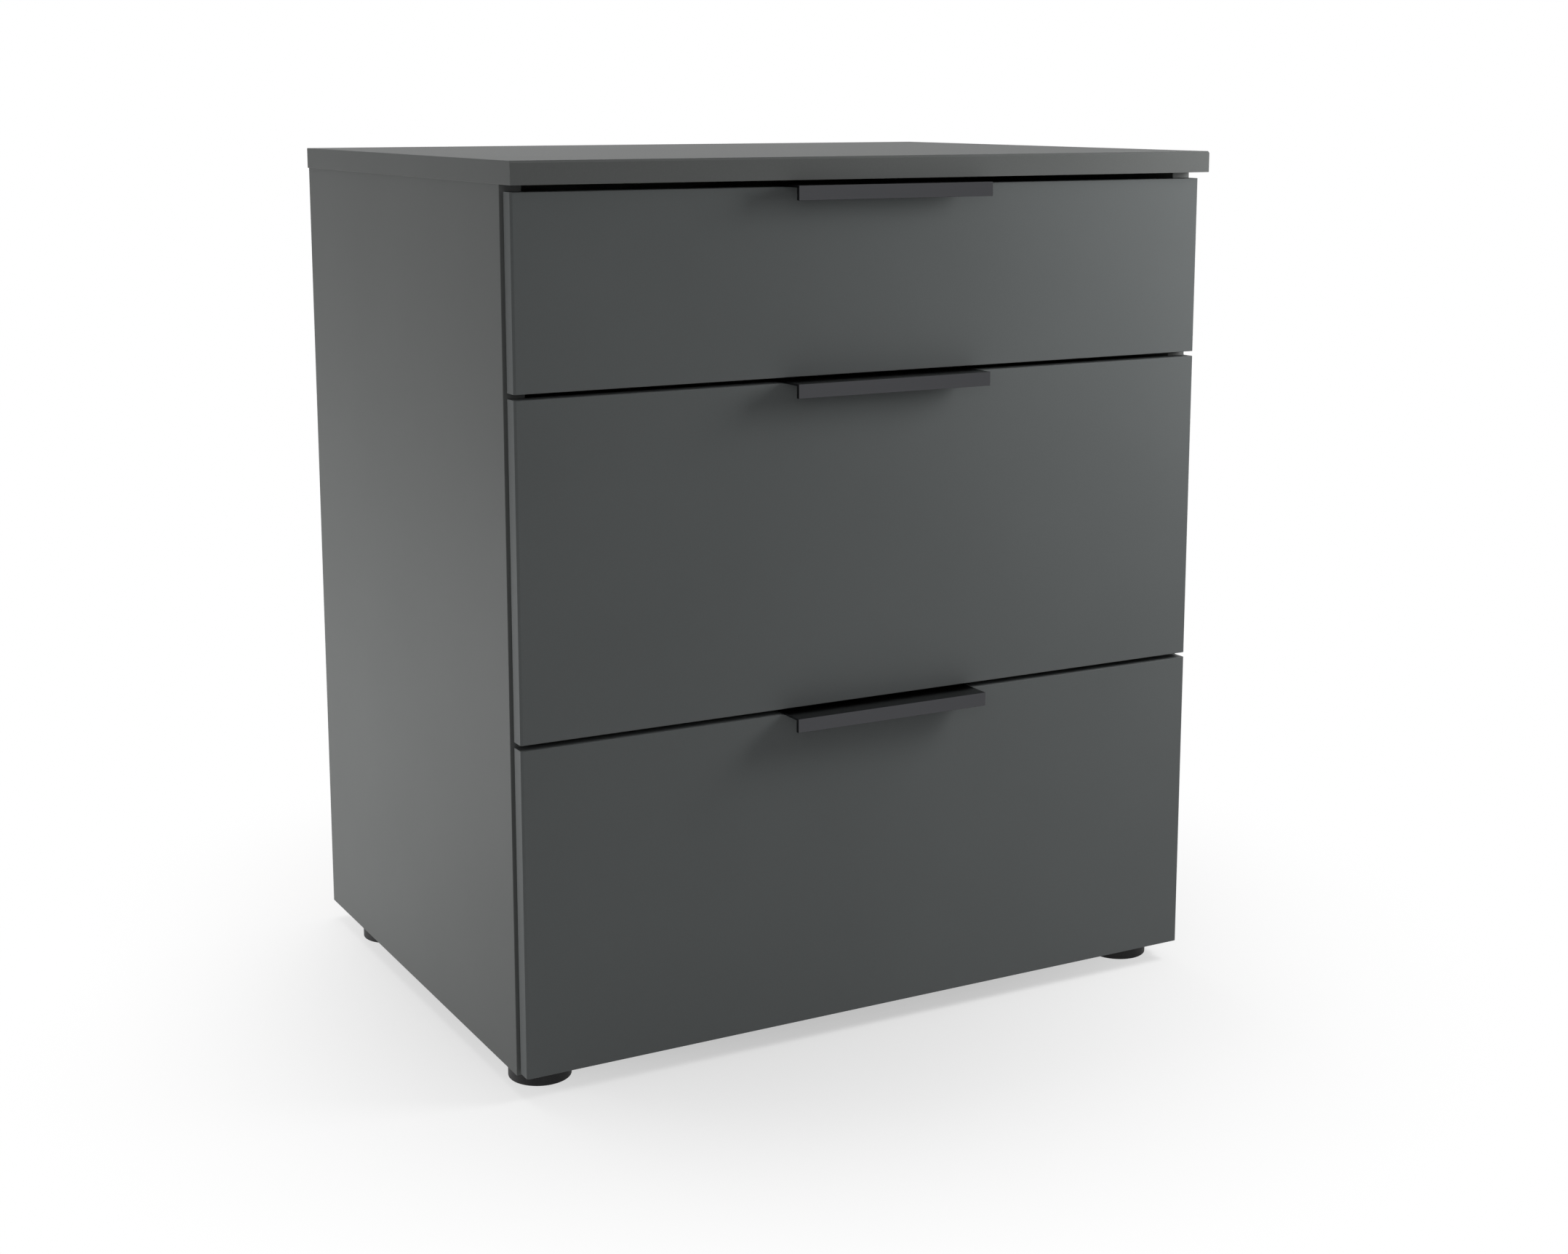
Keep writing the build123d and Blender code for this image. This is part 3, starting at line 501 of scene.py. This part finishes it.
class NIGHTSTAND_OT_finish_drawer_boxes(bpy.types.Operator):
    """Finish the drawer sides and backs in linen foil and the drawer bottoms in printed fibreboard"""

    bl_idname = "nightstand.finish_drawer_boxes"
    bl_label = "Finish drawer boxes"

    def execute(self, context):
        finish = context.scene.nightstand_finish
        finish_nodes(DRAWER_BOARDS, linen_board("drawer_linen_foil", finish.drawer_boxes))
        finish_nodes(DRAWER_BOTTOMS, printed_fibreboard("drawer_fibreboard", finish.thin_boards))
        return {"FINISHED"}


class NIGHTSTAND_OT_finish_handles(bpy.types.Operator):
    """Finish the edge-pull handles in a dark satin coat"""

    bl_idname = "nightstand.finish_handles"
    bl_label = "Finish handles"

    def execute(self, context):
        finish = context.scene.nightstand_finish
        finish_nodes(HANDLES, coated_metal("handle_coat", finish.handles))
        return {"FINISHED"}


class NIGHTSTAND_OT_finish_feet(bpy.types.Operator):
    """Finish the round feet in black moulded plastic"""

    bl_idname = "nightstand.finish_feet"
    bl_label = "Finish feet"

    def execute(self, context):
        finish_nodes(FEET, moulded_black("foot_plastic", context.scene.nightstand_finish.feet))
        return {"FINISHED"}


class NIGHTSTAND_OT_finish_runners(bpy.types.Operator):
    """Finish the roller runners: coated channels and rails, nylon rollers"""

    bl_idname = "nightstand.finish_runners"
    bl_label = "Finish runners"

    def execute(self, context):
        finish = context.scene.nightstand_finish
        finish_nodes(RUNNERS, epoxy_runner("runner_epoxy", finish.runners))
        finish_nodes(ROLLERS, roller_nylon("roller_nylon", finish.rollers))
        return {"FINISHED"}


class NIGHTSTAND_OT_finish_fittings(bpy.types.Operator):
    """Finish the cam fittings in zinc and the dowels in beech"""

    bl_idname = "nightstand.finish_fittings"
    bl_label = "Finish fittings"

    def execute(self, context):
        finish = context.scene.nightstand_finish
        finish_nodes(CAM_FITTINGS, zinc_plate("fitting_zinc", finish.zinc))
        finish_nodes(("carcass_dowels",), plain_beech("dowel_beech", finish.beech))
        return {"FINISHED"}


def loose_parts(mesh):
    """Points of every loose part of a mesh."""
    owner = {}

    def root(key):
        while owner[key] != key:
            owner[key] = owner[owner[key]]
            key = owner[key]
        return key

    keys = [tuple(round(c / WELD_GRID) for c in v.co) for v in mesh.vertices]
    for key in keys:
        owner.setdefault(key, key)
    for face in mesh.polygons:
        first = root(keys[face.vertices[0]])
        for index in face.vertices[1:]:
            owner[root(keys[index])] = first
    groups = {}
    for key in owner:
        groups.setdefault(root(key), []).append(Vector(key) * WELD_GRID)
    return groups.values()


def screw_places(node):
    """Head centre and inward direction of every screw in a carried group."""
    places = []
    for points in loose_parts(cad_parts[node].data):
        low = Vector(min(p[i] for p in points) for i in range(3))
        high = Vector(max(p[i] for p in points) for i in range(3))
        axis = max(range(3), key=lambda i: high[i] - low[i])
        middle = (low + high) / 2
        widest = max(points, key=lambda p: sum((p[i] - middle[i]) ** 2 for i in range(3) if i != axis))
        inward = Vector((0, 0, 0))
        inward[axis] = 1.0 if widest[axis] < middle[axis] else -1.0
        head = middle.copy()
        head[axis] = low[axis] if inward[axis] > 0 else high[axis]
        places.append((head, inward))
    return sorted(places, key=lambda place: tuple(place[0]))


def shifted(graph, mesh, z):
    """Mesh moved along the screw's axis."""
    place = graph.add("ShaderNodeCombineXYZ", {"Z": z}).outputs["Vector"]
    moved = graph.add("GeometryNodeTransform", {"Geometry": mesh, "Translation": place})
    return moved.outputs["Geometry"]


def screw_head(graph, given):
    """Pan head with its crown at zero and a cross recess in the crown."""
    rim_height = graph.times(given["Head Height"], RIM_SHARE)
    crown_height = graph.math("SUBTRACT", given["Head Height"], rim_height)
    crown_radius = graph.times(given["Head Radius"], CROWN_SHARE)
    rim = graph.add("GeometryNodeMeshCylinder", {
        "Vertices": HEAD_FACETS, "Radius": given["Head Radius"], "Depth": rim_height,
    })
    rim = shifted(graph, rim.outputs["Mesh"], graph.times(given["Head Height"], 1.0 - RIM_SHARE / 2))
    crown = graph.add("GeometryNodeMeshCone", {
        "Vertices": HEAD_FACETS, "Radius Top": given["Head Radius"], "Radius Bottom": crown_radius,
        "Depth": crown_height,
    })
    head = graph.add("GeometryNodeMeshBoolean", {"Mesh 2": rim}, operation="UNION")
    graph.tree.links.new(crown.outputs["Mesh"], head.inputs["Mesh 2"])
    slot_depth = graph.times(given["Recess Depth"], 2.0)  # half of each arm stands out of the crown
    arms = graph.add("GeometryNodeMeshBoolean", operation="UNION")
    for x, y in (("Recess Length", "Recess Width"), ("Recess Width", "Recess Length")):
        size = graph.add("ShaderNodeCombineXYZ", {"X": given[x], "Y": given[y], "Z": slot_depth})
        arm = graph.add("GeometryNodeMeshCube", {"Size": size.outputs["Vector"]})
        graph.tree.links.new(arm.outputs["Mesh"], arms.inputs["Mesh 2"])
    recessed = graph.add(
        "GeometryNodeMeshBoolean", {"Mesh 1": head.outputs["Mesh"], "Mesh 2": arms.outputs["Mesh"]},
        operation="DIFFERENCE",
    )
    return recessed.outputs["Mesh"]


def screw_shank(graph, given):
    """Core, tip and thread behind the head."""
    tip_length = given["Thread Radius"]
    core_length = graph.math("SUBTRACT", given["Length"], tip_length)
    core = graph.add("GeometryNodeMeshCylinder", {
        "Vertices": SHANK_FACETS, "Radius": given["Core Radius"], "Depth": core_length,
    })
    core_middle = graph.math("ADD", given["Head Height"], graph.times(core_length, 0.5))
    core = shifted(graph, core.outputs["Mesh"], core_middle)
    tip = graph.add("GeometryNodeMeshCone", {
        "Vertices": SHANK_FACETS, "Radius Top": TIP_RADIUS, "Radius Bottom": given["Core Radius"],
        "Depth": tip_length,
    })
    tip = shifted(graph, tip.outputs["Mesh"], graph.math("ADD", given["Head Height"], core_length))
    thread_depth = graph.math("SUBTRACT", given["Thread Radius"], given["Core Radius"])
    ridge = graph.times(thread_depth, RIDGE_SHARE)
    helix_radius = graph.math("SUBTRACT", given["Thread Radius"], ridge)
    helix = graph.add("GeometryNodeCurveSpiral", {
        "Resolution": SHANK_FACETS, "Rotations": given["Turns"], "Start Radius": helix_radius,
        "End Radius": helix_radius, "Height": graph.times(core_length, THREAD_SHARE),
    })
    section = graph.add("GeometryNodeCurvePrimitiveCircle", {"Resolution": THREAD_FACETS, "Radius": ridge})
    thread = graph.add("GeometryNodeCurveToMesh", {
        "Curve": helix.outputs["Curve"], "Profile Curve": section.outputs["Curve"], "Fill Caps": True,
    })
    thread_start = graph.math("ADD", given["Head Height"], graph.times(core_length, THREAD_START))
    thread = shifted(graph, thread.outputs["Mesh"], thread_start)
    return core, tip, thread


def screw_tree():
    """Geometry nodes that set a pan-head screw with a cross recess and a thread on every point."""
    tree = bpy.data.node_groups.new("pan_head_screws", "GeometryNodeTree")
    tree.interface.new_socket("Geometry", in_out="INPUT", socket_type="NodeSocketGeometry")
    lengths = (
        "Head Radius", "Head Height", "Core Radius", "Thread Radius", "Length",
        "Recess Length", "Recess Width", "Recess Depth",
    )
    for name in lengths:
        tree.interface.new_socket(name, in_out="INPUT", socket_type="NodeSocketFloat")
    tree.interface.new_socket("Turns", in_out="INPUT", socket_type="NodeSocketFloat")
    tree.interface.new_socket("Seed", in_out="INPUT", socket_type="NodeSocketInt")
    tree.interface.new_socket("Material", in_out="INPUT", socket_type="NodeSocketMaterial")
    tree.interface.new_socket("Geometry", in_out="OUTPUT", socket_type="NodeSocketGeometry")
    graph = Graph(tree)
    given = graph.add("NodeGroupInput").outputs
    parts = (screw_head(graph, given), *screw_shank(graph, given))
    screw = graph.add("GeometryNodeJoinGeometry")
    for part in parts:
        tree.links.new(part, screw.inputs["Geometry"])
    inward = graph.add("GeometryNodeInputNamedAttribute", {"Name": "inward"}, data_type="FLOAT_VECTOR")
    aim = graph.add("FunctionNodeAlignRotationToVector", {"Vector": inward.outputs["Attribute"]}, axis="Z")
    quarter_turn = {"Min_001": 0.0, "Max_001": math.pi / 2, "Seed": given["Seed"]}
    angle = graph.take(graph.add("FunctionNodeRandomValue", quarter_turn), "Value_001")
    turn = graph.add("FunctionNodeAxisAngleToRotation", {"Axis": (0, 0, 1), "Angle": angle})
    twist = graph.add(
        "FunctionNodeRotateRotation",
        {"Rotation": aim.outputs["Rotation"], "Rotate By": turn.outputs["Rotation"]},
        rotation_space="LOCAL",
    )
    set_out = graph.add("GeometryNodeInstanceOnPoints", {
        "Points": given["Geometry"], "Instance": screw.outputs["Geometry"],
        "Rotation": twist.outputs["Rotation"],
    })
    solid = graph.add("GeometryNodeRealizeInstances", {"Geometry": set_out.outputs["Instances"]})
    plated = graph.add("GeometryNodeSetMaterial", {
        "Geometry": solid.outputs["Geometry"], "Material": given["Material"],
    })
    graph.add("NodeGroupOutput", {"Geometry": plated.outputs["Geometry"]})
    return tree


def make_screws(context, node, tree, values):
    """Screws of one carried group as one plain mesh, made by the node tree from the given values."""
    places = screw_places(node)
    seats = bpy.data.meshes.new(f"{node}_seats")
    seats.from_pydata([head for head, _ in places], [], [])
    inward = seats.attributes.new("inward", "FLOAT_VECTOR", "POINT")
    inward.data.foreach_set("vector", [c for _, way in places for c in way])
    seated = bpy.data.objects.new(f"{node}_seats", seats)
    context.scene.collection.objects.link(seated)
    modifier = seated.modifiers.new("screws", "NODES")
    modifier.node_group = tree
    sockets = {s.name: s.identifier for s in tree.interface.items_tree if s.in_out == "INPUT"}
    for name, value in values.items():
        modifier[sockets[name]] = value
    depsgraph = context.evaluated_depsgraph_get()
    mesh = bpy.data.meshes.new_from_object(seated.evaluated_get(depsgraph))
    seated.modifiers.remove(modifier)
    bpy.data.objects.remove(seated)
    if not mesh.polygons:
        raise RuntimeError(f"no screws were made for {node}")
    screws = bpy.data.objects.new(f"{node}_recessed", mesh)
    context.scene.collection.objects.link(screws)
    return screws


class NIGHTSTAND_OT_set_screws(bpy.types.Operator):
    """Set recessed and threaded screws where the carried screw groups are"""

    bl_idname = "nightstand.set_screws"
    bl_label = "Set screws"

    def execute(self, context):
        sizes = context.scene.nightstand_screws
        tree = screw_tree()
        zinc = zinc_plate("screw_zinc", context.scene.nightstand_finish.zinc)
        values = {
            "Head Radius": sizes.head_radius, "Head Height": sizes.head_height,
            "Core Radius": sizes.core_radius, "Thread Radius": sizes.thread_radius,
            "Length": sizes.length, "Recess Length": sizes.recess_length,
            "Recess Width": sizes.recess_width, "Recess Depth": sizes.recess_depth,
            "Turns": float(sizes.turns), "Seed": SCREW_SEED, "Material": zinc,
        }
        for node, body in SCREW_GROUPS.items():
            screws = make_screws(context, node, tree, values)
            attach(screws, body)
            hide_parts(node)
        return {"FINISHED"}


def seen_directly(graph):
    """1 for what the camera, a reflection or glass sees, 0 for light that spreads."""
    path = graph.add("ShaderNodeLightPath").outputs
    seen = graph.math("MAXIMUM", path["Is Camera Ray"], path["Is Glossy Ray"])
    return graph.math("MAXIMUM", seen, path["Is Transmission Ray"])


def studio_world(ambient):
    """White surroundings for the eye, even soft light for the rest."""
    world = bpy.data.worlds.new("studio")
    world.use_nodes = True
    tree = world.node_tree
    tree.nodes.clear()
    graph = Graph(tree)
    soft = graph.add("ShaderNodeBackground", {"Color": (1.0, 1.0, 1.0, 1.0), "Strength": ambient})
    white = graph.add("ShaderNodeBackground", {"Color": (1.0, 1.0, 1.0, 1.0), "Strength": 1.0})
    mixed = graph.add("ShaderNodeMixShader", {"Fac": seen_directly(graph)})
    tree.links.new(soft.outputs["Background"], mixed.inputs[1])
    tree.links.new(white.outputs["Background"], mixed.inputs[2])
    graph.add("ShaderNodeOutputWorld", {"Surface": mixed.outputs["Shader"]})
    return world


def floor_finish(stage):
    """Pale floor that keeps the shadow beside the nightstand and runs out into white."""
    material = bpy.data.materials.new("studio_floor")
    material.use_nodes = True
    tree = material.node_tree
    tree.nodes.clear()
    graph = Graph(tree)
    place = graph.add("ShaderNodeTexCoord").outputs["Object"]
    reach = graph.add("ShaderNodeVectorMath", {"Vector": place}, operation="LENGTH").outputs["Value"]
    inputs = {
        "Value": reach, "From Min": stage.shade_near, "From Max": stage.shade_far,
        "To Min": stage.floor_shade, "To Max": 0.0,
    }
    shown = graph.add("ShaderNodeMapRange", inputs, interpolation_type="SMOOTHSTEP").outputs["Result"]
    white_share = graph.times(seen_directly(graph), graph.math("SUBTRACT", 1.0, shown))
    lit = graph.add("ShaderNodeBsdfDiffuse", {"Color": rgba([stage.floor_tone] * 3)})
    white = graph.add("ShaderNodeEmission", {"Color": (1.0, 1.0, 1.0, 1.0), "Strength": 1.0})
    mixed = graph.add("ShaderNodeMixShader", {"Fac": white_share})
    tree.links.new(lit.outputs["BSDF"], mixed.inputs[1])
    tree.links.new(white.outputs["Emission"], mixed.inputs[2])
    graph.add("ShaderNodeOutputMaterial", {"Surface": mixed.outputs["Shader"]})
    return material


def hang_lamp(context, lamp):
    """Rectangular softbox aimed at a point, never seen by the camera itself."""
    light = bpy.data.lights.new(lamp.name, "AREA")
    light.shape = "RECTANGLE"
    light.size, light.size_y = lamp.width, lamp.height
    light.energy = lamp.radiance * math.pi * lamp.width * lamp.height  # power of an evenly bright face
    holder = bpy.data.objects.new(lamp.name, light)
    holder.location = lamp.place
    aim = Vector(lamp.aim) - Vector(lamp.place)
    holder.rotation_euler = aim.to_track_quat("-Z", "Y").to_euler()
    holder.visible_camera = False
    holder.visible_glossy = lamp.mirrored
    context.scene.collection.objects.link(holder)


def lay_floor(context, stage):
    """Flat round floor under the nightstand."""
    ring = [2 * math.pi * i / FLOOR_CORNERS for i in range(FLOOR_CORNERS)]
    rim = [(stage.floor_radius * math.cos(a), stage.floor_radius * math.sin(a), 0.0) for a in ring]
    mesh = bpy.data.meshes.new("floor")
    mesh.from_pydata(rim, [], [list(range(FLOOR_CORNERS))])
    mesh.materials.append(floor_finish(stage))
    floor = bpy.data.objects.new("floor", mesh)
    context.scene.collection.objects.link(floor)
    return floor


def set_camera(context, stage):
    """Camera at the stage's viewing angle."""
    camera = bpy.data.cameras.new("camera")
    camera.sensor_fit = "HORIZONTAL"
    camera.sensor_width = SENSOR_WIDTH
    camera.lens = stage.lens
    camera.shift_y = stage.shift
    camera.clip_start, camera.clip_end = 0.01, 100.0
    viewer = bpy.data.objects.new("camera", camera)
    viewer.location = stage.camera_place
    viewer.rotation_euler = (math.pi / 2 - stage.camera_pitch, 0.0, -stage.camera_yaw)
    context.scene.collection.objects.link(viewer)
    context.scene.camera = viewer


class NIGHTSTAND_OT_set_stage(bpy.types.Operator):
    """Set the floor, the white surroundings, the softboxes and the camera"""

    bl_idname = "nightstand.set_stage"
    bl_label = "Set stage"

    def execute(self, context):
        scene = context.scene
        stage = scene.nightstand_stage
        scene.world = studio_world(stage.ambient)
        scene.view_settings.view_transform = "Standard"
        floor = lay_floor(context, stage)
        for lamp in LAMPS:
            hang_lamp(context, lamp)
        set_camera(context, stage)
        return {"FINISHED"}


class NIGHTSTAND_PT_panel(bpy.types.Panel):
    """Colours, screw sizes and stage of the nightstand"""

    bl_idname = "NIGHTSTAND_PT_panel"
    bl_label = "Nightstand"
    bl_space_type = "VIEW_3D"
    bl_region_type = "UI"
    bl_category = "Nightstand"

    def draw(self, context):
        layout = self.layout
        scene = context.scene
        for title, group in (
            ("Colours", scene.nightstand_finish),
            ("Screws", scene.nightstand_screws),
            ("Stage", scene.nightstand_stage),
        ):
            box = layout.box()
            box.label(text=title)
            for name in group.__annotations__:
                box.prop(group, name)
        for operator in OPERATORS:
            layout.operator(operator.bl_idname)


GROUPS = {
    "nightstand_finish": NightstandFinish,
    "nightstand_screws": NightstandScrews,
    "nightstand_stage": NightstandStage,
}
OPERATORS = (
    NIGHTSTAND_OT_finish_carcass,
    NIGHTSTAND_OT_finish_fronts,
    NIGHTSTAND_OT_finish_drawer_boxes,
    NIGHTSTAND_OT_finish_handles,
    NIGHTSTAND_OT_finish_feet,
    NIGHTSTAND_OT_finish_runners,
    NIGHTSTAND_OT_finish_fittings,
    NIGHTSTAND_OT_set_screws,
    NIGHTSTAND_OT_set_stage,
)


def register():
    """Register the classes and hang the settings on the scene."""
    for cls in (*GROUPS.values(), *OPERATORS, NIGHTSTAND_PT_panel):
        bpy.utils.register_class(cls)
    for name, group in GROUPS.items():
        setattr(bpy.types.Scene, name, PointerProperty(type=group))


def unregister():
    """Take the settings and the classes away again."""
    for name in GROUPS:
        delattr(bpy.types.Scene, name)
    for cls in (NIGHTSTAND_PT_panel, *reversed(OPERATORS), *reversed(tuple(GROUPS.values()))):
        bpy.utils.unregister_class(cls)


def main():
    """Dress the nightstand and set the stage."""
    register()
    bpy.ops.nightstand.finish_carcass()
    bpy.ops.nightstand.finish_fronts()
    bpy.ops.nightstand.finish_drawer_boxes()
    bpy.ops.nightstand.finish_handles()
    bpy.ops.nightstand.finish_feet()
    bpy.ops.nightstand.finish_runners()
    bpy.ops.nightstand.finish_fittings()
    bpy.ops.nightstand.set_screws()
    bpy.ops.nightstand.set_stage()


if __name__ == "__main__":
    main()
